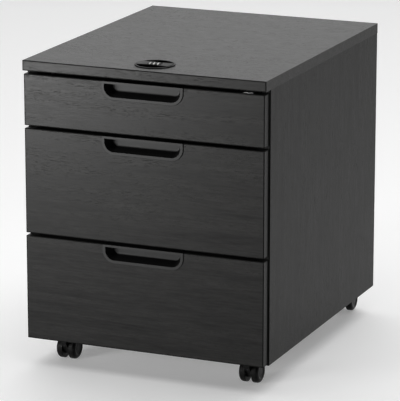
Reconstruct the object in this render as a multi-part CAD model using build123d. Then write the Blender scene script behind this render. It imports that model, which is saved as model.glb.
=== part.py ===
from build123d import *
import os
from math import cos, radians, sin, sqrt

# A rolling drawer pedestal: a board carcass on four twin-wheel castors, three steel drawers with veneered
# fronts and recessed grips, and a three-dial lock in the top that works a lock bar beside the drawers.
# Units are millimetres. +Z is up, the drawers open towards -Y, and +X is the right side seen from the front.
# The origin is on the floor under the centre of the top panel.

# ---------------------------------------------------------------- driving dimensions

# Overall sizes of the top panel, and the height of its upper face
overall_width = 450.0
overall_depth = 550.0
overall_height = 548.0

# Boards
top_thickness = 18.0
side_thickness = 18.0
bottom_thickness = 16.0
back_thickness = 12.0
front_thickness = 18.0
top_back_overhang = 1.5

# Reveals round the drawer fronts
front_gap = 5.3
front_side_reveal = 2.5
front_bottom_reveal = 2.0
front_to_carcass = 2.5
front_units = [1, 2, 2]

# Recessed grip in the top edge of each drawer front
grip_width = 141.0
grip_height = 23.0
grip_corner = 17.0
grip_depth = 18.5
grip_side_draft = 8.5
grip_bottom_draft = 6.8
grip_back_corner = 9.0
grip_top_bar = 4.0
grip_rim = 5.0
grip_rim_proud = 2.0
grip_wall = 1.5
grip_inner_fillet = 4.0
grip_rim_fillet = 0.7
grip_notch_clearance = 0.2

# Steel drawer boxes
sheet = 1.2
small_side_height = 49.0
large_side_height = 138.0
box_floor_clearance = 3.0
box_rear_clearance = 8.0
side_top_hem = 6.0
side_bottom_flange = 14.0
drawer_board = 3.0
back_hem = 7.0

# Runners: a steel channel on the carcass takes a hollow rib on the drawer side
rail_reach = 11.0
rail_front_inset = 28.0
rail_rear_inset = 5.0
rail_to_side = 2.0
rib_height = 12.0
rib_offset = 12.0
rib_end_clearance = 1.9
rib_play = 0.4
rail_screws_per_rail = 3
rail_screw_end = 30.0

# Small wood screws of the rails and castor plates
screw_radius = 1.8
screw_head_radius = 3.4
screw_head_height = 1.2
screw_depth = 11.0
screw_clearance = 0.1

# Cam fasteners that join the boards
cam_radius = 7.5
cam_depth = 11.0
cam_setback = 24.0
cam_end_inset = 60.0
cam_bolt_radius = 3.0
cam_bolt_reach = 10.0
cam_clearance = 0.1

# Castors
wheel_radius = 20.0
wheel_inner_face = 5.7
tread_width = 6.6
wheel_dome = 4.7
wheel_face_radius = 10.5
tread_fillet = 1.0
hub_groove_radius = 7.5
hub_groove_width = 0.8
hub_groove_depth = 0.5
castor_trail = 19.0
castor_inset = 29.0
castor_side_inset = 50.5
axle_radius = 3.0
axle_end = 1.6
kingpin_radius = 3.0
kingpin_length = 20.0
running_clearance = 0.08
web_half_width = 5.0
web_radius = 12.0
collar_radius = 11.0
collar_height = 5.4
collar_over_wheel = 1.0
swivel_gap = 0.6
plate_size = 38.0
plate_thickness = 2.0
plate_hole_inset = 5.5

# Combination lock: a round housing sunk in the top, and a waisted turn bar with three number dials
lock_from_front = 54.0
lock_flange_lip = 2.0
lock_flange_height = 1.6
lock_cup_radius = 33.0
lock_cup_wall = 1.2
lock_cup_depth = 9.4
lock_barrel_radius = 19.0
lock_bore_radius = 16.0
lock_barrel_floor = 1.6
lock_hub_bottom = 16.4
lock_fit = 0.3
lock_hole_clearance = 0.3
turn_end_gap = 0.5
turn_waist = 23.0
turn_scoop_radius = 150.0
turn_top = 2.2
turn_fillet = 0.7
shaft_radius = 3.5
dial_count = 3
dial_radius = 9.2
dial_width = 6.6
dial_pitch = 7.4
dial_proud = 2.0
dial_pin_radius = 1.5
dial_pin_hold = 3.5
dial_well_clearance = 0.5
nut_radius = 27.0
nut_thickness = 3.0

# Lock link, lock bar and the catches on the drawer fronts
strip = 1.6
strip_gap = 0.4
crank_radius = 12.0
crank_half_turn = 45.0
crank_pin_radius = 2.0
crank_slot_play = 0.6
link_width = 13.5
link_shaft_gap = 1.0
bar_width = 14.0
bar_front_gap = 2.5
bar_panel_gap = 0.4
bar_travel = 10.0
bar_tail = 40.0
tab_height = 8.0
tab_below_top = 13.0
tab_reach = 20.0
bar_pin_radius = 2.0
bar_pin_from_side = 28.0
ramp_play = 0.3
ramp_margin = 2.5
link_plate_gap = 6.0
catch_width = 17.0
catch_side_inset = 24.5
catch_drop = 11.0
catch_flange = 16.0
catch_sheet = 1.0
catch_to_tab = 1.2
catch_over_edge = 13.0
guide_play = 0.6
guide_width = 10.0
guide_strap = 1.2

# ---------------------------------------------------------------- shared places

half_width = overall_width / 2
inner_x = half_width - side_thickness
y_front = -overall_depth / 2
y_front_back = y_front + front_thickness
y_carcass = y_front_back + front_to_carcass
y_back = overall_depth / 2 - top_back_overhang
y_back_inner = y_back - back_thickness
z_top = overall_height
z_top_under = z_top - top_thickness

castor_height = 2 * wheel_radius + collar_over_wheel + collar_height + swivel_gap + plate_thickness
z_underside = castor_height
z_floor_panel = z_underside + bottom_thickness
z_plate_under = z_underside - plate_thickness
box_bottom_offset = bottom_thickness - front_bottom_reveal + box_floor_clearance

# The fronts share the opening between the top panel and the bottom edge in whole units
z_fronts_top = z_top_under - front_gap
z_fronts_bottom = z_underside + front_bottom_reveal
unit_gaps = sum(front_units) - 1
unit_height = (z_fronts_top - z_fronts_bottom - unit_gaps * front_gap) / sum(front_units)


def front_height(units):
    """Height of a front that covers this many units and the gaps between them."""
    return units * unit_height + (units - 1) * front_gap


def front_top(drawer):
    """Z of the top edge of a drawer front; drawer 1 is the uppermost."""
    above = front_units[: drawer - 1]
    return z_fronts_top - sum(front_height(units) + front_gap for units in above)


def front_bottom(drawer):
    """Z of the bottom edge of a drawer front."""
    return front_top(drawer) - front_height(front_units[drawer - 1])


drawers = [1, 2, 3]
side_heights = [small_side_height, large_side_height, large_side_height]

box_outer_x = inner_x - rail_reach - rail_to_side
box_inner_x = box_outer_x - sheet
y_box_back = y_back_inner - box_rear_clearance
y_rail_front = y_carcass + rail_front_inset
y_rail_back = y_back_inner - rail_rear_inset
rib_outer_x = inner_x - sheet - rib_end_clearance

lock_y = y_front + lock_from_front
z_hub_bottom = z_top - lock_hub_bottom
z_barrel_floor = z_hub_bottom - lock_fit
z_barrel_end = z_top_under - nut_thickness
z_link_top = z_barrel_end - strip_gap
z_link_bottom = z_link_top - strip
z_cam_top = z_link_bottom - strip_gap
z_cam_bottom = z_cam_top - strip
z_dial_axis = z_top + turn_top + dial_proud - dial_radius
dial_group_half = dial_count * dial_pitch / 2

crank_offset = crank_radius * sin(radians(crank_half_turn))
link_travel = 2 * crank_offset
bar_outer_x = inner_x - bar_panel_gap
bar_inner_x = bar_outer_x - strip
y_bar_front = y_carcass + bar_front_gap
y_bar_back = y_bar_front + bar_width
bar_pin_x = inner_x - bar_pin_from_side


def tab_top(drawer):
    """Z of the top of the lock bar's tab for a drawer, with the lock open."""
    return front_top(drawer) - tab_below_top


# ---------------------------------------------------------------- helpers


def block(x0, x1, y0, y1, z0, z1):
    """A box between two corners."""
    centre = Pos((x0 + x1) / 2, (y0 + y1) / 2, (z0 + z1) / 2)
    return centre * Box(x1 - x0, y1 - y0, z1 - z0)


def rod(radius, start, end):
    """A cylinder from one point to another."""
    along = Vector(*end) - Vector(*start)
    base = Plane(origin=start, z_dir=along)
    return base * Cylinder(radius, along.length, align=(Align.CENTER, Align.CENTER, Align.MIN))


def upright(outline, y0, y1):
    """An outline drawn in X and Z, made solid from y0 to y1."""
    plane = Plane(origin=(0, y1, 0), x_dir=(1, 0, 0), z_dir=(0, -1, 0))
    return extrude(plane * outline, amount=y1 - y0)


def save(name, *solids):
    """Writes one node; several solids make a group of separate pieces."""
    shape = solids[0] if len(solids) == 1 else Compound(children=list(solids))
    export_step(shape, os.path.join("parts", name + ".step"))


os.makedirs("parts", exist_ok=True)

# ---------------------------------------------------------------- castor places and screw patterns

castor_x = half_width - castor_side_inset
castor_spots = {
    "front_left": (-castor_x, y_carcass + castor_inset),
    "front_right": (castor_x, y_carcass + castor_inset),
    "rear_left": (-castor_x, y_back - castor_inset),
    "rear_right": (castor_x, y_back - castor_inset),
}
plate_hole = plate_size / 2 - plate_hole_inset


def castor_screw_spots():
    """X and Y of every castor screw."""
    for x, y in castor_spots.values():
        for step_x in (-plate_hole, plate_hole):
            for step_y in (-plate_hole, plate_hole):
                yield x + step_x, y + step_y


def rib_bottom(drawer):
    """Z of the underside of the rib on the side of a drawer."""
    return front_bottom(drawer) + box_bottom_offset + rib_offset


def rail_screw_spots():
    """Y and Z of the screws of the three rails on one side."""
    first = y_rail_front + rail_screw_end
    pitch = (y_rail_back - rail_screw_end - first) / (rail_screws_per_rail - 1)
    for drawer in drawers:
        for number in range(rail_screws_per_rail):
            yield first + number * pitch, rib_bottom(drawer) + rib_height / 2


# ---------------------------------------------------------------- cam fasteners

cam_ys = [y_carcass + cam_end_inset, y_back_inner - cam_end_inset]
cam_hole = cam_radius + cam_clearance
bolt_hole = cam_bolt_radius + cam_clearance
z_side_cam = z_top_under - cam_setback
x_floor_cam = inner_x - cam_setback


def side_cam(side, y, radius, bolt):
    """A cam in the inner face of a side panel, and its bolt up into the top panel."""
    disc = rod(radius, (side * inner_x, y, z_side_cam), (side * (inner_x + cam_depth), y, z_side_cam))
    x = side * (inner_x + cam_depth / 2)
    shank = rod(bolt, (x, y, z_side_cam + cam_radius), (x, y, z_top_under + cam_bolt_reach))
    return disc, shank


def floor_cam(side, y, radius, bolt):
    """A cam in the upper face of the bottom panel, and its bolt out into a side panel."""
    x = side * x_floor_cam
    disc = rod(radius, (x, y, z_floor_panel - cam_depth), (x, y, z_floor_panel))
    z = z_floor_panel - cam_depth / 2
    start = (side * (x_floor_cam + cam_radius), y, z)
    shank = rod(bolt, start, (side * (inner_x + cam_bolt_reach), y, z))
    return disc, shank


def cam_holes(side):
    """The holes that the fasteners of one side need in the boards."""
    for y in cam_ys:
        yield from side_cam(side, y, cam_hole, bolt_hole)
        yield from floor_cam(side, y, cam_hole, bolt_hole)


cams = []
for side in (-1, 1):
    for y in cam_ys:
        cams.extend(side_cam(side, y, cam_radius, cam_bolt_radius))
        cams.extend(floor_cam(side, y, cam_radius, cam_bolt_radius))
save("cam_fasteners", *cams)

# ---------------------------------------------------------------- carcass boards

top_panel = block(-half_width, half_width, y_front, overall_depth / 2, z_top_under, z_top)
lock_seat = lock_cup_radius + lock_hole_clearance
barrel_hole = lock_barrel_radius + lock_hole_clearance
z_seat = z_top - lock_cup_depth
top_panel -= rod(lock_seat, (0, lock_y, z_seat), (0, lock_y, z_top))
top_panel -= rod(barrel_hole, (0, lock_y, z_top_under), (0, lock_y, z_seat))
for side in (-1, 1):
    for hole in cam_holes(side):
        top_panel -= hole
save("top_panel", top_panel)

for side, name in ((-1, "side_panel_left"), (1, "side_panel_right")):
    x0, x1 = sorted((side * inner_x, side * half_width))
    panel = block(x0, x1, y_carcass, y_back, z_underside, z_top_under)
    for hole in cam_holes(side):
        panel -= hole
    for y, z in rail_screw_spots():
        panel -= rod(screw_radius, (side * inner_x, y, z), (side * (inner_x + screw_depth), y, z))
    save(name, panel)

bottom_panel = block(-inner_x, inner_x, y_carcass, y_back_inner, z_underside, z_floor_panel)
for side in (-1, 1):
    for hole in cam_holes(side):
        bottom_panel -= hole
for x, y in castor_screw_spots():
    bottom_panel -= rod(screw_radius, (x, y, z_underside), (x, y, z_underside + screw_depth))
save("bottom_panel", bottom_panel)

save("back_panel", block(-inner_x, inner_x, y_back_inner, y_back, z_underside, z_top_under))

# ---------------------------------------------------------------- rails


def rail(side, drawer):
    """A channel screwed to a side panel, open towards the drawer."""
    z0 = rib_bottom(drawer) - rib_play - sheet
    z1 = rib_bottom(drawer) + rib_height + rib_play + sheet
    outer = block(inner_x - rail_reach, inner_x, y_rail_front, y_rail_back, z0, z1)
    hollow = block(inner_x - rail_reach, inner_x - sheet, y_rail_front, y_rail_back, z0 + sheet, z1 - sheet)
    channel = outer - hollow
    for y, z in rail_screw_spots():
        if z0 < z < z1:
            channel -= rod(screw_radius + screw_clearance, (inner_x - sheet, y, z), (inner_x, y, z))
    return channel if side > 0 else mirror(channel, about=Plane.YZ)


for drawer in drawers:
    save(f"drawer_{drawer}_rails", rail(-1, drawer), rail(1, drawer))


def screw(head, tip):
    """A wood screw whose head sits on the point head and whose shank runs to the point tip."""
    direction = (Vector(*tip) - Vector(*head)).normalized()
    crown = Vector(*head) - direction * screw_head_height
    return rod(screw_head_radius, crown, head) + rod(screw_radius, head, tip)


rail_screws = []
for side in (-1, 1):
    for y, z in rail_screw_spots():
        head = (side * (inner_x - sheet), y, z)
        rail_screws.append(screw(head, (side * (inner_x + screw_depth), y, z)))
save("rail_screws", *rail_screws)

# ---------------------------------------------------------------- castors

z_collar_top = z_plate_under - swivel_gap
z_collar_bottom = z_collar_top - collar_height
z_kingpin = z_plate_under - kingpin_length
wheel_width = tread_width + wheel_dome
axle_half = wheel_inner_face + wheel_width - axle_end - running_clearance

plates = []
for x, y in castor_spots.values():
    half = plate_size / 2
    plate = block(x - half, x + half, y - half, y + half, z_plate_under, z_underside)
    plate += rod(kingpin_radius, (x, y, z_kingpin), (x, y, z_plate_under))
    for step_x in (-plate_hole, plate_hole):
        for step_y in (-plate_hole, plate_hole):
            low = (x + step_x, y + step_y, z_plate_under)
            plate -= rod(screw_radius + screw_clearance, low, (x + step_x, y + step_y, z_underside))
    plates.append(plate)
save("castor_plates", *plates)

castor_screws = []
for x, y in castor_screw_spots():
    castor_screws.append(screw((x, y, z_plate_under), (x, y, z_underside + screw_depth)))
save("castor_screws", *castor_screws)


def fork(x, y):
    """The web between the two wheels of a castor, with the collar that turns under its plate."""
    low, back = web_radius * sin(radians(30)), web_radius * cos(radians(30))
    outline = make_face(
        Polyline(
            (-kingpin_radius - 4, z_collar_bottom),
            (-kingpin_radius - 4, z_collar_bottom - 8),
            (castor_trail - back, wheel_radius - low),
            (castor_trail, wheel_radius - low),
            (castor_trail + back, wheel_radius + low),
            (castor_trail + 1, z_collar_bottom),
            close=True,
        )
    )
    outline += Pos(castor_trail, wheel_radius) * Circle(web_radius)
    side_view = Plane(origin=(x - web_half_width, y, 0), x_dir=(0, 1, 0), z_dir=(1, 0, 0))
    web = extrude(side_view * outline, amount=2 * web_half_width)
    web += rod(collar_radius, (x, y, z_collar_bottom), (x, y, z_collar_top))
    bore = kingpin_radius + running_clearance
    web -= rod(bore, (x, y, z_kingpin - swivel_gap), (x, y, z_collar_top))
    axle_y = y + castor_trail
    web_ends = (x - web_half_width, axle_y, wheel_radius), (x + web_half_width, axle_y, wheel_radius)
    web -= rod(axle_radius, *web_ends)
    return web


def wheel(side, x, y):
    """One of the twin wheels: flat tread inside, domed cap outside, a blind bore for the axle."""
    outer_face = wheel_inner_face + wheel_width
    tread_edge = wheel_inner_face + tread_width
    half_section = make_face(
        Polyline((outer_face, wheel_face_radius), (outer_face, 0), (wheel_inner_face, 0),
                 (wheel_inner_face, wheel_radius), (tread_edge, wheel_radius))
        + TangentArc((tread_edge, wheel_radius), (outer_face, wheel_face_radius), tangent=(1, 0))
    )
    body = revolve(half_section, Axis.X)
    rim = body.edges().filter_by(GeomType.CIRCLE).group_by(SortBy.RADIUS)[-1].sort_by(Axis.X)[0]
    body = fillet(rim, tread_fillet)
    bore_end = axle_half + running_clearance
    body -= rod(axle_radius + running_clearance, (wheel_inner_face, 0, 0), (bore_end, 0, 0))
    groove_ends = (outer_face - hub_groove_depth, 0, 0), (outer_face, 0, 0)
    body -= rod(hub_groove_radius, *groove_ends) - rod(hub_groove_radius - hub_groove_width, *groove_ends)
    if side < 0:
        body = mirror(body, about=Plane.YZ)
    return Pos(x, y + castor_trail, wheel_radius) * body


for spot, (x, y) in castor_spots.items():
    save(f"castor_{spot}_fork", fork(x, y))
    axle_y = y + castor_trail
    axle = rod(axle_radius, (x - axle_half, axle_y, wheel_radius), (x + axle_half, axle_y, wheel_radius))
    save(f"castor_{spot}_axle", axle)
    save(f"castor_{spot}_wheel_left", wheel(-1, x, y))
    save(f"castor_{spot}_wheel_right", wheel(1, x, y))

# ---------------------------------------------------------------- drawers


def u_outline(half, bottom, top, corner):
    """A rectangle in X and Z with its two lower corners rounded."""
    face = Pos(0, (top + bottom) / 2) * Rectangle(2 * half, top - bottom)
    return fillet(face.vertices().group_by(Axis.Y)[0], corner)


def grip_outline(drawer, spread, top):
    """The outline of a grip, spread outwards from its opening and with its own top edge."""
    bottom = front_top(drawer) - grip_top_bar - grip_height - spread
    return u_outline(grip_width / 2 + spread, bottom, top, grip_corner + spread)


def drawer_front(drawer):
    """A veneered front board, notched from its top edge for the grip."""
    half = half_width - front_side_reveal
    board = block(-half, half, y_front, y_front_back, front_bottom(drawer), front_top(drawer))
    notch = grip_outline(drawer, grip_wall + grip_notch_clearance, front_top(drawer) + grip_top_bar)
    return board - upright(notch, y_front, y_front_back)


def grip_pocket(drawer):
    """The space for the fingers: its sides and floor draw in towards the back wall."""
    top = front_top(drawer) - grip_top_bar
    bottom = top - grip_height
    half = grip_width / 2
    mouth = u_outline(half, bottom, top, grip_corner)
    back = u_outline(half - grip_side_draft, bottom + grip_bottom_draft, top, grip_back_corner)
    mouth_plane = Plane(origin=(0, y_front - grip_rim_proud, 0), x_dir=(1, 0, 0), z_dir=(0, -1, 0))
    back_plane = Plane(origin=(0, y_front + grip_depth, 0), x_dir=(1, 0, 0), z_dir=(0, -1, 0))
    pocket = loft([mouth_plane * mouth, back_plane * back], ruled=True)
    return fillet(pocket.faces().sort_by(Axis.Y)[-1].edges(), grip_inner_fillet)


def drawer_grip(drawer):
    """The moulded grip: a pocket through the front and a rim that stands proud of it."""
    top = front_top(drawer)
    y_rim = y_front - grip_rim_proud
    rim = upright(grip_outline(drawer, grip_rim, top), y_rim, y_front)
    rim = fillet(rim.faces().sort_by(Axis.Y)[0].edges(), grip_rim_fillet)
    shell_end = y_front + grip_depth + grip_wall
    return rim + upright(grip_outline(drawer, grip_wall, top), y_front, shell_end) - grip_pocket(drawer)


def drawer_side(side, drawer):
    """A folded steel side: hem above, flange below, hollow rib outside and a flange behind the front."""
    z0 = front_bottom(drawer) + box_bottom_offset
    z1 = z0 + side_heights[drawer - 1]
    ends = (y_front_back, y_box_back)
    panel = block(box_inner_x, box_outer_x, *ends, z0, z1)
    panel += block(box_outer_x - side_top_hem, box_outer_x, *ends, z1 - sheet, z1)
    panel += block(box_outer_x - side_bottom_flange, box_outer_x, *ends, z0, z0 + sheet)
    rib0 = rib_bottom(drawer)
    rib1 = rib0 + rib_height
    rib = block(box_outer_x, rib_outer_x, *ends, rib0, rib1)
    rib -= block(box_outer_x, rib_outer_x - sheet, *ends, rib0 + sheet, rib1 - sheet)
    panel += rib
    flange_inner = box_outer_x - side_bottom_flange
    panel += block(flange_inner, box_outer_x, y_front_back, y_front_back + sheet, z0, z1)
    return panel if side > 0 else mirror(panel, about=Plane.YZ)


def drawer_bottom(drawer):
    """The board that lies on the bottom flanges, between the front flanges and the rear edge."""
    z0 = front_bottom(drawer) + box_bottom_offset + sheet
    return block(-box_inner_x, box_inner_x, y_front_back + sheet, y_box_back, z0, z0 + drawer_board)


def drawer_back(drawer):
    """The folded steel back, standing on the bottom board between the sides."""
    z0 = front_bottom(drawer) + box_bottom_offset + sheet + drawer_board
    z1 = front_bottom(drawer) + box_bottom_offset + side_heights[drawer - 1] - sheet
    back = block(-box_inner_x, box_inner_x, y_box_back - sheet, y_box_back, z0, z1)
    back += block(-box_inner_x, box_inner_x, y_box_back - back_hem, y_box_back, z1 - sheet, z1)
    return back


def drawer_catch(drawer):
    """A bent catch behind the front, with a lip that the raised lock bar blocks."""
    x0 = inner_x - catch_side_inset
    x1 = x0 + catch_width
    over_edge = drawer == drawers[0]
    z1 = front_top(drawer) + (catch_sheet if over_edge else 0)
    y_lip = y_bar_back + catch_to_tab
    arm = block(x0, x1, y_front_back, y_lip + catch_sheet, z1 - catch_sheet, z1)
    arm += block(x0, x1, y_lip, y_lip + catch_sheet, z1 - catch_sheet - catch_drop, z1)
    arm += block(x0, x1, y_front_back, y_front_back + catch_sheet, z1 - catch_flange, z1)
    if over_edge:
        arm += block(x0, x1, y_front_back - catch_over_edge, y_front_back, z1 - catch_sheet, z1)
    return arm


for drawer in drawers:
    save(f"drawer_{drawer}_front", drawer_front(drawer))
    save(f"drawer_{drawer}_grip", drawer_grip(drawer))
    save(f"drawer_{drawer}_side_left", drawer_side(-1, drawer))
    save(f"drawer_{drawer}_side_right", drawer_side(1, drawer))
    save(f"drawer_{drawer}_bottom", drawer_bottom(drawer))
    save(f"drawer_{drawer}_back", drawer_back(drawer))
    save(f"drawer_{drawer}_catch", drawer_catch(drawer))

# ---------------------------------------------------------------- lock in the top


def on_lock(radius, z0, z1):
    """A cylinder on the axis of the lock."""
    return rod(radius, (0, lock_y, z0), (0, lock_y, z1))


flange_radius = lock_cup_radius + lock_flange_lip
housing = on_lock(flange_radius, z_top, z_top + lock_flange_height)
housing = fillet(housing.edges().group_by(Axis.Z)[-1], lock_flange_height / 2)
housing += on_lock(lock_cup_radius, z_seat, z_top)
housing += on_lock(lock_barrel_radius, z_barrel_end, z_seat)
housing -= on_lock(lock_cup_radius - lock_cup_wall, z_seat + lock_cup_wall, z_top + lock_flange_height)
housing -= on_lock(lock_bore_radius + running_clearance, z_barrel_floor, z_top)
housing -= on_lock(lock_bore_radius, z_barrel_end, z_barrel_floor - lock_barrel_floor)
housing -= on_lock(shaft_radius + running_clearance, z_barrel_end, z_barrel_floor)
save("lock_housing", housing)

nut = on_lock(nut_radius, z_barrel_end, z_top_under) - on_lock(lock_barrel_radius, z_barrel_end, z_top_under)
save("lock_nut", nut)

# The turn's plan is a bar across the cup, scooped on both long sides so that its waist is narrowest
turn_radius = lock_cup_radius - lock_cup_wall - turn_end_gap
scoop_shift = turn_waist / 2 + turn_scoop_radius
waisted_bar = Circle(turn_radius)
for direction in (-1, 1):
    waisted_bar -= Pos(0, direction * scoop_shift) * Circle(turn_scoop_radius)
z_turn_bottom = z_seat + lock_cup_wall + lock_fit
turn = extrude(Pos(0, lock_y, z_turn_bottom) * waisted_bar, amount=z_top + turn_top - z_turn_bottom)
turn = fillet(turn.edges().group_by(Axis.Z)[-1], turn_fillet)
turn += on_lock(lock_bore_radius, z_hub_bottom, z_turn_bottom)
turn += on_lock(shaft_radius, z_cam_top, z_hub_bottom)
well = dial_radius + dial_well_clearance
well_y = lock_y - well, lock_y + well
turn -= block(-dial_group_half, dial_group_half, *well_y, z_dial_axis, z_top + turn_top)
turn -= rod(well, (-dial_group_half, lock_y, z_dial_axis), (dial_group_half, lock_y, z_dial_axis))
pin_half = dial_group_half + dial_pin_hold
turn -= rod(dial_pin_radius, (-pin_half, lock_y, z_dial_axis), (pin_half, lock_y, z_dial_axis))
save("lock_turn", turn)
save("dial_pin", rod(dial_pin_radius, (-pin_half, lock_y, z_dial_axis), (pin_half, lock_y, z_dial_axis)))

for number in range(dial_count):
    x = (number - (dial_count - 1) / 2) * dial_pitch
    ends = ((x - dial_width / 2, lock_y, z_dial_axis), (x + dial_width / 2, lock_y, z_dial_axis))
    dial = rod(dial_radius, *ends) - rod(dial_pin_radius + running_clearance, *ends)
    save(f"lock_dial_{number + 1}", dial)

# The crank under the top starts half its turn to the left and ends half its turn to the right
crank_y = lock_y + crank_radius * cos(radians(crank_half_turn))
crank_width = 2 * (crank_pin_radius + strip)
arm = Plane(origin=(0, lock_y, z_cam_bottom), x_dir=(-crank_offset, crank_y - lock_y, 0))
arm = extrude(arm * Pos(crank_radius / 2, 0) * Rectangle(crank_radius, crank_width), amount=strip)
crank = arm + on_lock(crank_width / 2 + strip, z_cam_bottom, z_cam_top)
crank += rod(crank_width / 2, (-crank_offset, crank_y, z_cam_bottom), (-crank_offset, crank_y, z_cam_top))
crank += rod(crank_pin_radius, (-crank_offset, crank_y, z_cam_top), (-crank_offset, crank_y, z_link_top))
save("lock_crank", crank)

# ---------------------------------------------------------------- lock link and lock bar

y_link_front = lock_y + shaft_radius + link_shaft_gap
y_link_back = y_link_front + link_width
y_link_plate = y_bar_back + link_plate_gap
slot_half = crank_pin_radius + crank_slot_play
tab_centre = tab_top(1) - tab_height / 2
ramp_half = bar_pin_radius + ramp_play
link_right = bar_pin_x + ramp_half + ramp_margin
link_plate_left = bar_pin_x - link_travel - ramp_half - ramp_margin
link_left = -crank_offset - slot_half - ramp_margin
z_plate_end = tab_centre - ramp_half - ramp_margin

link = block(link_left, link_right, y_link_front, y_link_back, z_link_bottom, z_link_top)
link += block(link_plate_left, link_right, y_link_plate, y_link_front, z_link_bottom, z_link_top)
link += block(link_plate_left, link_right, y_link_plate, y_link_plate + strip, z_plate_end, z_link_top)
slot_y = crank_y - slot_half, lock_y + crank_radius + slot_half
link -= block(-crank_offset - slot_half, -crank_offset + slot_half, *slot_y, z_link_bottom, z_link_top)
ramp_start = Vector(bar_pin_x, tab_centre)
ramp_end = Vector(bar_pin_x - link_travel, tab_centre + bar_travel)
ramp_middle = (ramp_start + ramp_end) / 2
ramp_angle = (ramp_end - ramp_start).get_angle(Vector(-1, 0))
ramp = SlotCenterToCenter((ramp_end - ramp_start).length, 2 * ramp_half, rotation=-ramp_angle)
link -= upright(Pos(ramp_middle.X, ramp_middle.Y) * ramp, y_link_plate, y_link_plate + strip)
save("lock_link", link)

bar_bottom = tab_top(drawers[-1]) - bar_tail
bar = block(bar_inner_x, bar_outer_x, y_bar_front, y_bar_back, bar_bottom, tab_top(1))
for drawer in drawers:
    reach = bar_pin_x - bar_pin_radius - strip if drawer == 1 else bar_inner_x - tab_reach
    z1 = tab_top(drawer)
    bar += block(reach, bar_outer_x, y_bar_back - strip, y_bar_back, z1 - tab_height, z1)
y_pin_end = y_link_plate + strip
bar += rod(bar_pin_radius, (bar_pin_x, y_bar_back - strip, tab_centre), (bar_pin_x, y_pin_end, tab_centre))
save("lock_bar", bar)

# ---------------------------------------------------------------- guides of the lock bar and link


def bar_guide(z):
    """A strap round the lock bar, fixed to the right side panel."""
    x_in = bar_inner_x - bar_panel_gap
    y0 = y_bar_front - guide_play
    y1 = y_bar_back + guide_play
    z0 = z - guide_width / 2
    z1 = z + guide_width / 2
    outer = block(x_in - guide_strap, inner_x, y0 - guide_strap, y1 + guide_strap, z0, z1)
    return outer - block(x_in, inner_x, y0, y1, z0, z1)


def link_guide(x):
    """A strap round the lock link, fixed under the top panel."""
    z_in = z_link_bottom - strip_gap
    y0 = y_link_front - guide_play
    y1 = y_link_back + guide_play
    half = guide_width / 2
    outer = block(x - half, x + half, y0 - guide_strap, y1 + guide_strap, z_in - guide_strap, z_top_under)
    return outer - block(x - half, x + half, y0, y1, z_in, z_top_under)


guides = [bar_guide(front_top(drawer) + front_gap / 2) for drawer in drawers[1:]]
guides.append(link_guide((nut_radius + link_plate_left) / 2))
save("lock_guides", *guides)
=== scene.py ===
from math import cos, pi, radians, sin

import bmesh
import bpy
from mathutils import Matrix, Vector


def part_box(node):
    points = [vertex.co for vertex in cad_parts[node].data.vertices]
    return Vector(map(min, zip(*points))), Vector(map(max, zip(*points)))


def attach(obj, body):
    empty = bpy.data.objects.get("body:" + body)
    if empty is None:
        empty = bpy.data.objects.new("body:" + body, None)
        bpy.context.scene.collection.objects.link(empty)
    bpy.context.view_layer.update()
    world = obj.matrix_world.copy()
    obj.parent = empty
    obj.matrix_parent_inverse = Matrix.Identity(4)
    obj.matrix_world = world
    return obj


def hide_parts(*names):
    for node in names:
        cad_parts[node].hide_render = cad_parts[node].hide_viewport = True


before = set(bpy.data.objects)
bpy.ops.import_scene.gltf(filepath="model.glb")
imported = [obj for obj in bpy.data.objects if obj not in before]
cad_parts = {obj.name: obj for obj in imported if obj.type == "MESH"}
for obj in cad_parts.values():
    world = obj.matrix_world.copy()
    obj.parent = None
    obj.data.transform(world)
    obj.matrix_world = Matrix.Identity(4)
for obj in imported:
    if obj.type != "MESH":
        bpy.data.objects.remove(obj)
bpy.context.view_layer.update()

MM = 0.001
DRAWERS = (1, 2, 3)
DIALS = (1, 2, 3)
CASTORS = ("front_left", "front_right", "rear_left", "rear_right")
WHEELS = ("left", "right")

# ---------------------------------------------------------------- shader helpers


def node(tree, kind, inputs=None, **settings):
    """Adds a shader node; an input may be a value or another node's output."""
    made = tree.nodes.new("ShaderNode" + kind)
    for name, value in settings.items():
        setattr(made, name, value)
    for name, value in (inputs or {}).items():
        if isinstance(value, bpy.types.NodeSocket):
            tree.links.new(value, made.inputs[name])
        else:
            made.inputs[name].default_value = value
    return made


def math(tree, operation, a, b=0.0):
    return node(tree, "Math", {0: a, 1: b}, operation=operation).outputs[0]


def ramp(tree, value, low, high, start=0.0, end=1.0):
    """Turns low..high into start..end with a smooth step."""
    inputs = {"Value": value, "From Min": low, "From Max": high, "To Min": start, "To Max": end}
    return node(tree, "MapRange", inputs, interpolation_type="SMOOTHSTEP").outputs["Result"]


def blend_colour(tree, factor, first, second):
    """Mixes two colours; the Mix node repeats its socket names, so the colour ones go by number."""
    made = node(tree, "Mix", {0: factor, 6: first, 7: second}, data_type="RGBA")
    return made.outputs[2]


def noise(tree, vector, scale, detail=4.0, roughness=0.5, distortion=0.0):
    inputs = {"Vector": vector, "Scale": scale, "Detail": detail, "Roughness": roughness,
              "Distortion": distortion}
    return node(tree, "TexNoise", inputs).outputs["Fac"]


def stretched(tree, vector, scale, shift=(0.0, 0.0, 0.0)):
    inputs = {"Vector": vector, "Location": shift, "Scale": scale}
    return node(tree, "Mapping", inputs).outputs["Vector"]


def rgba(colour):
    return (*colour, 1.0)


def new_material(name):
    """An empty material with one Principled shader."""
    material = bpy.data.materials.new(name)
    material.use_nodes = True
    tree = material.node_tree
    tree.nodes.clear()
    shader = node(tree, "BsdfPrincipled")
    output = node(tree, "OutputMaterial")
    tree.links.new(shader.outputs["BSDF"], output.inputs["Surface"])
    return material, tree, shader


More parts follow.
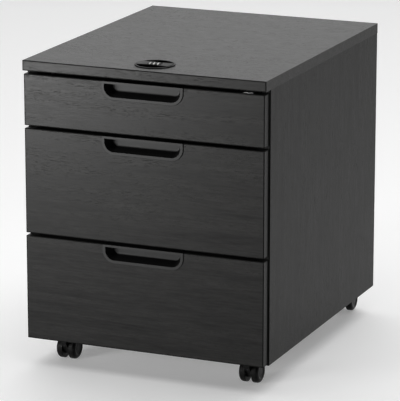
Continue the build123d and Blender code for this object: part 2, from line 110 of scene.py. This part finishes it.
def connect(tree, shader, colour, roughness, height, depth, strength):
    """Plugs the varying colour, roughness and height into the shader."""
    tree.links.new(colour, shader.inputs["Base Color"])
    tree.links.new(roughness, shader.inputs["Roughness"])
    bump = node(tree, "Bump", {"Height": height, "Distance": depth, "Strength": strength})
    tree.links.new(bump.outputs["Normal"], shader.inputs["Normal"])


def edge_distance(tree, coord, box, flush):
    """Distance from the nearest edge of a board; with flush, the edges along Y don't count."""
    low, high = Vector(box[0]), Vector(box[1])
    centre = (low + high) / 2
    half = (high - low) / 2
    from_centre = node(tree, "VectorMath", {0: coord, 1: centre}, operation="SUBTRACT").outputs[0]
    size = node(tree, "VectorMath", {0: from_centre}, operation="ABSOLUTE").outputs[0]
    inward = node(tree, "VectorMath", {0: half, 1: size}, operation="SUBTRACT").outputs[0]
    split = node(tree, "SeparateXYZ", {0: inward})
    x, y, z = split.outputs
    if flush:
        return math(tree, "MAXIMUM", y, math(tree, "MINIMUM", x, z))
    larger = math(tree, "MAXIMUM", x, y)
    return math(tree, "MAXIMUM", math(tree, "MINIMUM", x, y), math(tree, "MINIMUM", larger, z))


# ---------------------------------------------------------------- materials

GRAIN = {"X": (0.05, 1.0, 1.0), "Y": (1.0, 0.05, 1.0), "Z": (1.0, 1.0, 0.05)}
PORES = {"X": (0.09, 1.0, 1.0), "Y": (1.0, 0.09, 1.0), "Z": (1.0, 1.0, 0.09)}


def ash_veneer(name, box, grain, seed, sheen=0.17, flush=False):
    """Black-stained open-grain ash: growth rings, fibres, short dark pores, edges rubbed lighter by wear, and
    painted shade: a near-black band along the board edges.
    """
    material, tree, shader = new_material(name)
    coord = node(tree, "TexCoord").outputs["Object"]
    shift = (seed * 1.7, seed * 2.3, seed * 3.1)
    along = stretched(tree, coord, GRAIN[grain], shift)
    short = stretched(tree, coord, PORES[grain], shift)
    rings = noise(tree, along, 70.0, detail=3.0, roughness=0.55, distortion=0.6)
    fibre = noise(tree, short, 420.0, detail=5.0, roughness=0.68)
    pores = ramp(tree, noise(tree, short, 1500.0, detail=2.0), 0.56, 0.68)
    zones = ramp(tree, rings, 0.42, 0.6, 0.15, 1.0)
    pores = math(tree, "MULTIPLY", pores, zones)
    cloud = noise(tree, coord, 9.0, detail=2.0)

    shade = math(tree, "MULTIPLY", ramp(tree, rings, 0.3, 0.7), 0.42)
    shade = math(tree, "ADD", shade, math(tree, "MULTIPLY", ramp(tree, fibre, 0.3, 0.7), 0.42))
    shade = math(tree, "ADD", shade, math(tree, "MULTIPLY", cloud, 0.16))
    light = (0.0225, 0.0223, 0.0213)
    stain = blend_colour(tree, shade, (0.0035, 0.0035, 0.0034, 1.0), rgba(light))
    stain = blend_colour(tree, math(tree, "MULTIPLY", pores, 0.75), stain, (0.008, 0.0078, 0.0075, 1.0))
    edge = edge_distance(tree, coord, box, flush)
    # painted shade: a near-black band within about 2 mm of each edge that isn't flush, standing in for the
    # dark line along the rounded arris; the band is also made rough
    painted_edge_shade = math(tree, "MULTIPLY", ramp(tree, edge, 0.0021, 0.0012), 0.92)
    stain = blend_colour(tree, painted_edge_shade, stain, (0.0012, 0.0012, 0.0011, 1.0))
    # wear: right at the edge the stain is rubbed lighter along the fibres
    rubbed = math(tree, "MULTIPLY", ramp(tree, edge, 0.0006, 0.0002), ramp(tree, fibre, 0.62, 0.72, 0.0, 0.5))
    lightened = [channel * 2.0 for channel in light]
    stain = blend_colour(tree, rubbed, stain, rgba(lightened))

    gloss = ramp(tree, fibre, 0.3, 0.7, 0.36, 0.47)
    gloss = math(tree, "ADD", gloss, math(tree, "MULTIPLY", pores, 0.25))
    gloss = math(tree, "MAXIMUM", gloss, painted_edge_shade)
    height = math(tree, "SUBTRACT", math(tree, "MULTIPLY", fibre, 0.35), pores)
    connect(tree, shader, stain, gloss, height, 0.12 * MM, 0.7)
    shader.inputs["Specular IOR Level"].default_value = sheen
    return material


def moulded(name, dark, light, rough, sheen):
    """Moulded plastic: a fine spark-eroded skin, faint flow clouding and uneven gloss."""
    material, tree, shader = new_material(name)
    coord = node(tree, "TexCoord").outputs["Object"]
    skin = noise(tree, coord, 1600.0, detail=3.0, roughness=0.6)
    cloud = noise(tree, coord, 38.0, detail=3.0)
    scuffs = ramp(tree, noise(tree, stretched(tree, coord, (1.0, 0.15, 1.0)), 260.0, detail=4.0), 0.6, 0.72)
    colour = blend_colour(tree, ramp(tree, cloud, 0.3, 0.7), rgba(dark), rgba(light))
    colour = blend_colour(tree, math(tree, "MULTIPLY", scuffs, 0.12), colour, (0.03, 0.03, 0.03, 1.0))
    gloss = math(tree, "ADD", ramp(tree, cloud, 0.3, 0.7, rough - 0.05, rough + 0.05),
                 math(tree, "MULTIPLY", scuffs, 0.12))
    connect(tree, shader, colour, gloss, skin, 0.05 * MM, 0.6)
    shader.inputs["Specular IOR Level"].default_value = sheen
    return material


def satin_faced(name, axis, sign, black, painted_light_colour, rough, sheen):
    """Black plastic with painted light: the faces that look one way along an axis get a grey colour for the
    light they catch. The other faces keep a black that is partly the plastic's own colour and partly painted
    shade.
    """
    material, tree, shader = new_material(name)
    coords = node(tree, "TexCoord")
    coord = coords.outputs["Object"]
    # painted light: this mask picks the faces turned towards the lamps, the front for the grips and the top
    # for the lock
    facing = node(tree, "SeparateXYZ", {0: coords.outputs["Normal"]}).outputs[axis]
    facing = ramp(tree, math(tree, "MULTIPLY", facing, sign), 0.6, 0.93)
    skin = noise(tree, coord, 1500.0, detail=3.0, roughness=0.6)
    cloud = noise(tree, coord, 60.0, detail=3.0)
    # painted light: grey on those faces, varied a little by a random cloud; everything else stays black as
    # painted shade
    lightened = math(tree, "MULTIPLY", facing, ramp(tree, cloud, 0.25, 0.75, 0.85, 1.0))
    colour = blend_colour(tree, lightened, rgba(black), rgba(painted_light_colour))
    gloss = ramp(tree, cloud, 0.3, 0.7, rough - 0.04, rough + 0.04)
    gloss = math(tree, "MAXIMUM", gloss, ramp(tree, facing, 0.0, 0.8, 0.95, 0.0))
    connect(tree, shader, colour, gloss, skin, 0.04 * MM, 0.5)
    shader.inputs["Specular IOR Level"].default_value = sheen
    return material


def powder_coat(name, dark, light):
    """Powder-coated steel: orange peel, a fine sparkle of texture and a few handling marks."""
    material, tree, shader = new_material(name)
    coord = node(tree, "TexCoord").outputs["Object"]
    peel = noise(tree, coord, 900.0, detail=2.0)
    grit = noise(tree, coord, 3200.0, detail=2.0)
    cloud = noise(tree, coord, 14.0, detail=3.0)
    rubs = ramp(tree, noise(tree, stretched(tree, coord, (1.0, 0.08, 1.0)), 240.0), 0.62, 0.75)
    colour = blend_colour(tree, ramp(tree, cloud, 0.3, 0.7), rgba(dark), rgba(light))
    colour = blend_colour(tree, math(tree, "MULTIPLY", rubs, 0.15), colour, (0.3, 0.3, 0.3, 1.0))
    gloss = math(tree, "ADD", ramp(tree, grit, 0.3, 0.7, 0.42, 0.52), math(tree, "MULTIPLY", rubs, -0.1))
    height = math(tree, "ADD", peel, math(tree, "MULTIPLY", grit, 0.4))
    connect(tree, shader, colour, gloss, height, 0.05 * MM, 0.5)
    return material


def zinc_plate(name, dark, light):
    """Zinc-plated steel: rolled streaks, cloudy passivation and duller spots."""
    material, tree, shader = new_material(name)
    coord = node(tree, "TexCoord").outputs["Object"]
    rolled = noise(tree, stretched(tree, coord, (1.0, 0.04, 1.0)), 1200.0, detail=4.0, roughness=0.6)
    cloud = noise(tree, coord, 60.0, detail=5.0, roughness=0.6)
    colour = blend_colour(tree, ramp(tree, cloud, 0.3, 0.7), rgba(dark), rgba(light))
    gloss = math(tree, "ADD", ramp(tree, cloud, 0.3, 0.7, 0.26, 0.42),
                 ramp(tree, rolled, 0.3, 0.7, -0.05, 0.06))
    connect(tree, shader, colour, gloss, rolled, 0.02 * MM, 0.5)
    shader.inputs["Metallic"].default_value = 1.0
    return material


def printed_board(name, dark, light):
    """Printed fibreboard: a fine paper tooth over a faint fleck."""
    material, tree, shader = new_material(name)
    coord = node(tree, "TexCoord").outputs["Object"]
    tooth = noise(tree, coord, 1500.0, detail=3.0)
    fleck = noise(tree, stretched(tree, coord, (1.0, 0.25, 1.0)), 320.0, detail=4.0)
    colour = blend_colour(tree, ramp(tree, fleck, 0.35, 0.65), rgba(dark), rgba(light))
    gloss = ramp(tree, tooth, 0.3, 0.7, 0.5, 0.62)
    connect(tree, shader, colour, gloss, tooth, 0.04 * MM, 0.5)
    return material


def wheel_nylon(name):
    """Black nylon castor wheel: shiny cap, and a tread dulled and dusted by the floor."""
    material, tree, shader = new_material(name)
    coords = node(tree, "TexCoord")
    coord = coords.outputs["Object"]
    split = node(tree, "SeparateXYZ", {0: coords.outputs["Generated"]})
    across = math(tree, "SUBTRACT", split.outputs["Y"], 0.5)
    up = math(tree, "SUBTRACT", split.outputs["Z"], 0.5)
    square = math(tree, "ADD", math(tree, "MULTIPLY", across, across), math(tree, "MULTIPLY", up, up))
    radius = math(tree, "SQRT", square)
    dust_noise = noise(tree, coord, 420.0, detail=5.0, roughness=0.65)
    dust = ramp(tree, dust_noise, 0.35, 0.65, 0.3, 1.0)
    tread = math(tree, "MULTIPLY", ramp(tree, radius, 0.485, 0.497), dust)
    skin = noise(tree, coord, 1400.0, detail=3.0)
    colour = blend_colour(tree, math(tree, "MULTIPLY", tread, 0.5), (0.0013, 0.0013, 0.0014, 1.0),
                          (0.012, 0.0116, 0.011, 1.0))
    gloss = ramp(tree, dust_noise, 0.3, 0.7, 0.27, 0.36)
    gloss = math(tree, "ADD", gloss, math(tree, "MULTIPLY", tread, 0.3))
    connect(tree, shader, colour, gloss, skin, 0.04 * MM, 0.5)
    shader.inputs["Specular IOR Level"].default_value = 0.12
    return material


def floor_paper(name):
    """The pale studio floor."""
    material, tree, shader = new_material(name)
    coord = node(tree, "TexCoord").outputs["Object"]
    tooth = noise(tree, coord, 14.0, detail=3.0)
    colour = blend_colour(tree, tooth, (0.86, 0.86, 0.86, 1.0), (0.9, 0.9, 0.9, 1.0))
    connect(tree, shader, colour, ramp(tree, tooth, 0.3, 0.7, 0.7, 0.8), tooth, 0.2 * MM, 0.1)
    shader.inputs["Emission Color"].default_value = (1.0, 1.0, 1.0, 1.0)
    shader.inputs["Emission Strength"].default_value = 0.22
    return material


# ---------------------------------------------------------------- finishing the CAD nodes


def dress(name, material, bevel=0.0):
    """Gives a CAD node its material and, where an edge is rounded, a small bevel."""
    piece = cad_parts[name]
    piece.data.materials.clear()
    piece.data.materials.append(material)
    if bevel:
        weld = piece.modifiers.new("weld", "WELD")
        weld.merge_threshold = 0.01 * MM
        rounding = piece.modifiers.new("rounding", "BEVEL")
        rounding.width = bevel
        rounding.segments = 3
        rounding.limit_method = "ANGLE"
        rounding.angle_limit = radians(40)
        rounding.harden_normals = True
    return piece


# Each board's grain direction, sheen, and whether its edges along Y are flush with its neighbour's. The lower
# sheen on the side panels than on the top is painted shade: darker copies of the same veneer.
BOARDS = {"top_panel": ("X", 0.17, True), "side_panel_left": ("Z", 0.1, True),
          "side_panel_right": ("Z", 0.1, True), "back_panel": ("X", 0.14, False)}
for seed, (board, (grain, sheen, flush)) in enumerate(BOARDS.items()):
    veneer = ash_veneer("veneer_" + board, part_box(board), grain, seed, sheen, flush)
    dress(board, veneer, bevel=0.6 * MM)

black_foil = printed_board("black_foil", (0.022, 0.022, 0.022), (0.03, 0.03, 0.03))
dark_board = printed_board("dark_fibreboard", (0.045, 0.045, 0.045), (0.06, 0.06, 0.06))
coated_steel = powder_coat("dark_powder_coat", (0.045, 0.045, 0.047), (0.055, 0.055, 0.057))
zinc = zinc_plate("bright_zinc", (0.50, 0.51, 0.53), (0.72, 0.73, 0.73))
dull_zinc = zinc_plate("dull_zinc", (0.21, 0.21, 0.215), (0.32, 0.32, 0.325))
black_zinc = zinc_plate("black_zinc", (0.03, 0.03, 0.032), (0.06, 0.06, 0.062))
# Each pair: the black, which is the plastic's own colour and painted shade in the recesses, then the grey
# painted light on the faces turned to the lamps
GRIP_SHADES = (0.0006, 0.0006, 0.0006), (0.036, 0.036, 0.0355)
RING_SHADES = (0.001, 0.001, 0.001), (0.009, 0.009, 0.0088)
TURN_SHADES = (0.001, 0.001, 0.001), (0.013, 0.013, 0.0127)
grip_plastic = satin_faced("grip_plastic", "Y", -1.0, *GRIP_SHADES, 0.45, 0.13)
lock_black = satin_faced("lock_black", "Z", 1.0, *RING_SHADES, 0.42, 0.04)
lock_grey = satin_faced("lock_grey", "Z", 1.0, *TURN_SHADES, 0.42, 0.045)
castor_black = moulded("castor_black", (0.0012, 0.0012, 0.0012), (0.002, 0.002, 0.002), 0.42, 0.12)
wheel_black = wheel_nylon("wheel_black")

dress("bottom_panel", black_foil)
for drawer in DRAWERS:
    prefix = f"drawer_{drawer}_"
    front = prefix + "front"
    dress(front, ash_veneer("veneer_" + front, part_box(front), "X", 10 + drawer), bevel=0.6 * MM)
    dress(prefix + "grip", grip_plastic)
    dress(prefix + "bottom", dark_board)
    for part in ("side_left", "side_right", "back"):
        dress(prefix + part, coated_steel)
    dress(prefix + "rails", zinc)
    dress(prefix + "catch", dull_zinc)

for part in ("cam_fasteners", "rail_screws", "castor_screws", "lock_bar", "dial_pin"):
    dress(part, zinc)
for part in ("lock_nut", "lock_guides", "lock_link", "lock_crank", "castor_plates"):
    dress(part, black_zinc)
dress("lock_housing", lock_black)
dress("lock_turn", lock_grey)
for castor in CASTORS:
    dress(f"castor_{castor}_fork", castor_black)
    dress(f"castor_{castor}_axle", black_zinc)
    for wheel in WHEELS:
        dress(f"castor_{castor}_wheel_{wheel}", wheel_black)

# ---------------------------------------------------------------- number dials

DIGITS = 10
DIGIT_HEIGHT = 4.7 * MM
DIGIT_TILT = radians(28)
DIGIT_INSET = 0.1 * MM
DIGIT_BANDS = 6
DIGIT_BAND_HEIGHT = 0.36 * MM
DIAL_STEPS = 120
DIAL_BORE = 1.7 * MM
DIAL_RIM = 0.5 * MM
DIAL_SKIN_INSET = 0.15 * MM
NOTCH_DEPTH = 0.45 * MM


def link(name, mesh, look):
    """Makes an object of a bmesh, smooth but for its sharp edges."""
    data = bpy.data.meshes.new(name)
    for face in mesh.faces:
        face.smooth = True
    for edge in mesh.edges:
        edge.smooth = len(edge.link_faces) == 2 and edge.calc_face_angle(0.0) < radians(35)
    mesh.to_mesh(data)
    mesh.free()
    made = bpy.data.objects.new(name, data)
    bpy.context.scene.collection.objects.link(made)
    data.materials.append(look)
    return made


def paint(name, colour, rough):
    """Pad-printed paint: a slightly patchy film."""
    material, tree, shader = new_material(name)
    coord = node(tree, "TexCoord").outputs["Object"]
    film = noise(tree, coord, 2600.0, detail=4.0)
    faded = [channel * 0.8 for channel in colour]
    look = blend_colour(tree, ramp(tree, film, 0.3, 0.6), rgba(faded), rgba(colour))
    connect(tree, shader, look, ramp(tree, film, 0.3, 0.7, rough - 0.05, rough + 0.05), film, 0.01 * MM, 0.3)
    return material


def dial_wheel(name, centre, radius, width):
    """A number wheel: ten finger notches between the digits, rounded rims and a bore."""
    half = width / 2
    skin = radius - DIAL_SKIN_INSET
    shoulder = radius - DIAL_RIM * 0.6
    side = radius - DIAL_RIM * 2
    sections = [(-half, DIAL_BORE), (-half, side), (-half + DIAL_RIM * 0.3, shoulder),
                (-half + DIAL_RIM, skin), (half - DIAL_RIM, skin),
                (half - DIAL_RIM * 0.3, shoulder), (half, side), (half, DIAL_BORE)]
    mesh = bmesh.new()
    rings = []
    for step in range(DIAL_STEPS):
        angle = 2 * pi * step / DIAL_STEPS
        between = cos((angle - DIGIT_TILT) * DIGITS) * -0.5 + 0.5
        notch = NOTCH_DEPTH * between ** 6
        ring = []
        for across, out in sections:
            reach = out - notch if out > radius * 0.8 else out
            place = Vector((across, -sin(angle) * reach, cos(angle) * reach))
            ring.append(mesh.verts.new(centre + place))
        rings.append(ring)
    for step in range(DIAL_STEPS):
        here, there = rings[step], rings[(step + 1) % DIAL_STEPS]
        for k in range(len(sections)):
            n = (k + 1) % len(sections)
            mesh.faces.new((here[k], here[n], there[n], there[k]))
    bmesh.ops.recalc_face_normals(mesh, faces=mesh.faces)
    return link(name, mesh, dial_black)


def printed_digits(name, centre, radius):
    """The ten digits round a dial, each cut out of a font outline and wrapped on the wheel."""
    mesh = bmesh.new()
    for digit in range(DIGITS):
        text = bpy.data.curves.new("digit", "FONT")
        text.body = str(digit)
        text.size = 1.0
        text.align_x = "CENTER"
        text.align_y = "CENTER"
        text.offset = 0.035
        text.shear = 0.18
        holder = bpy.data.objects.new("digit", text)
        outline = holder.to_mesh()
        part = bmesh.new()
        part.from_mesh(outline)
        holder.to_mesh_clear()
        bpy.data.objects.remove(holder)
        ys = [v.co.y for v in part.verts]
        xs = [v.co.x for v in part.verts]
        scale = DIGIT_HEIGHT / (max(ys) - min(ys))
        middle = Vector(((max(xs) + min(xs)) / 2, (max(ys) + min(ys)) / 2, 0.0))
        for vert in part.verts:
            vert.co = (vert.co - middle) * scale
        for cut in range(-DIGIT_BANDS, DIGIT_BANDS + 1):
            geometry = part.verts[:] + part.edges[:] + part.faces[:]
            place = (0, cut * DIGIT_BAND_HEIGHT, 0)
            bmesh.ops.bisect_plane(part, geom=geometry, plane_co=place, plane_no=(0, 1, 0))
        turn = DIGIT_TILT - 2 * pi * digit / DIGITS
        copies = {}
        for vert in part.verts:
            angle = turn - vert.co.y / radius
            place = Vector((vert.co.x, -sin(angle) * radius, cos(angle) * radius))
            copies[vert] = mesh.verts.new(centre + place)
        for face in part.faces:
            mesh.faces.new([copies[vert] for vert in face.verts])
        part.free()
    bmesh.ops.recalc_face_normals(mesh, faces=mesh.faces)
    return link(name, mesh, digit_white)


dial_black = moulded("dial_black", (0.0025, 0.0025, 0.0025), (0.004, 0.004, 0.004), 0.35, 0.5)
digit_white = paint("digit_white", (0.85, 0.85, 0.83), 0.45)
for number in DIALS:
    dial = f"lock_dial_{number}"
    low, high = (Vector(corner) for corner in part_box(dial))
    middle = (low + high) / 2
    size = high - low
    wheel = dial_wheel(f"{dial}_wheel", middle, size.z / 2, size.x)
    digits = printed_digits(f"{dial}_digits", middle, size.z / 2 - DIGIT_INSET)
    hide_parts(dial)
    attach(wheel, dial)
    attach(digits, dial)

# ---------------------------------------------------------------- studio

# Soft boxes: place, the point each faces, its size in metres, its spread in degrees, and its power in watts
STUDIO = {
    "key_light": ((-1.0, -1.7, 0.45), (-0.26, -0.27, 0.66), (0.5, 0.5), 66, 5.0),
    "front_light": ((-0.2, -4.2, 0.9), (0.0, -0.27, 0.4), (2.0, 1.0), 180, 12.0),
    "top_light": ((0.0, 0.0, 3.4), (0.0, 0.0, 0.0), (4.5, 4.5), 180, 82.0),
    "rear_light": ((-1.2, 3.6, 1.6), (0.0, 0.0, 0.4), (3.0, 1.6), 180, 7.0),
}
SKY_LEVEL = 0.04
REAR_SKY_LEVEL = 0.98
FLOOR_REACH = 30.0
CAMERA_PLACE = (1.904, -4.504, 1.531)
CAMERA_DIP = 0.255
CAMERA_HEADING = 0.402
CAMERA_LENS = 252.5


def area_light(name, place, target, size, spread, power):
    lamp = bpy.data.lights.new(name, "AREA")
    lamp.shape = "RECTANGLE"
    lamp.size, lamp.size_y = size
    lamp.spread = radians(spread)
    lamp.energy = power
    holder = bpy.data.objects.new(name, lamp)
    bpy.context.scene.collection.objects.link(holder)
    holder.location = place
    direction = Vector(target) - Vector(place)
    holder.rotation_euler = direction.to_track_quat("-Z", "Y").to_euler()
    holder.visible_camera = False


def build_floor():
    mesh = bmesh.new()
    bmesh.ops.create_grid(mesh, x_segments=8, y_segments=8, size=FLOOR_REACH)
    data = bpy.data.meshes.new("studio_floor")
    mesh.to_mesh(data)
    mesh.free()
    floor = bpy.data.objects.new("studio_floor", data)
    bpy.context.scene.collection.objects.link(floor)
    data.materials.append(floor_paper("floor_paper"))


def build_world():
    """White surroundings, brighter behind the object than in front of it."""
    world = bpy.data.worlds.new("studio")
    world.use_nodes = True
    tree = world.node_tree
    direction = node(tree, "TexCoord").outputs["Generated"]
    rear = ramp(tree, node(tree, "SeparateXYZ", {0: direction}).outputs["Y"], -0.2, 0.9, 0.0, REAR_SKY_LEVEL)
    background = tree.nodes["Background"]
    background.inputs["Color"].default_value = (1.0, 1.0, 1.0, 1.0)
    tree.links.new(math(tree, "ADD", rear, SKY_LEVEL), background.inputs["Strength"])
    bpy.context.scene.world = world


build_floor()
build_world()
for light, settings in STUDIO.items():
    area_light(light, *settings)

camera_data = bpy.data.cameras.new("camera")
camera_data.sensor_width = 36.0
camera_data.lens = CAMERA_LENS
camera_data.clip_end = 50.0
camera = bpy.data.objects.new("camera", camera_data)
bpy.context.scene.collection.objects.link(camera)
camera.location = CAMERA_PLACE
camera.rotation_euler = (pi / 2 - CAMERA_DIP, 0.0, CAMERA_HEADING)
bpy.context.scene.camera = camera
bpy.context.scene.view_settings.view_transform = "Standard"
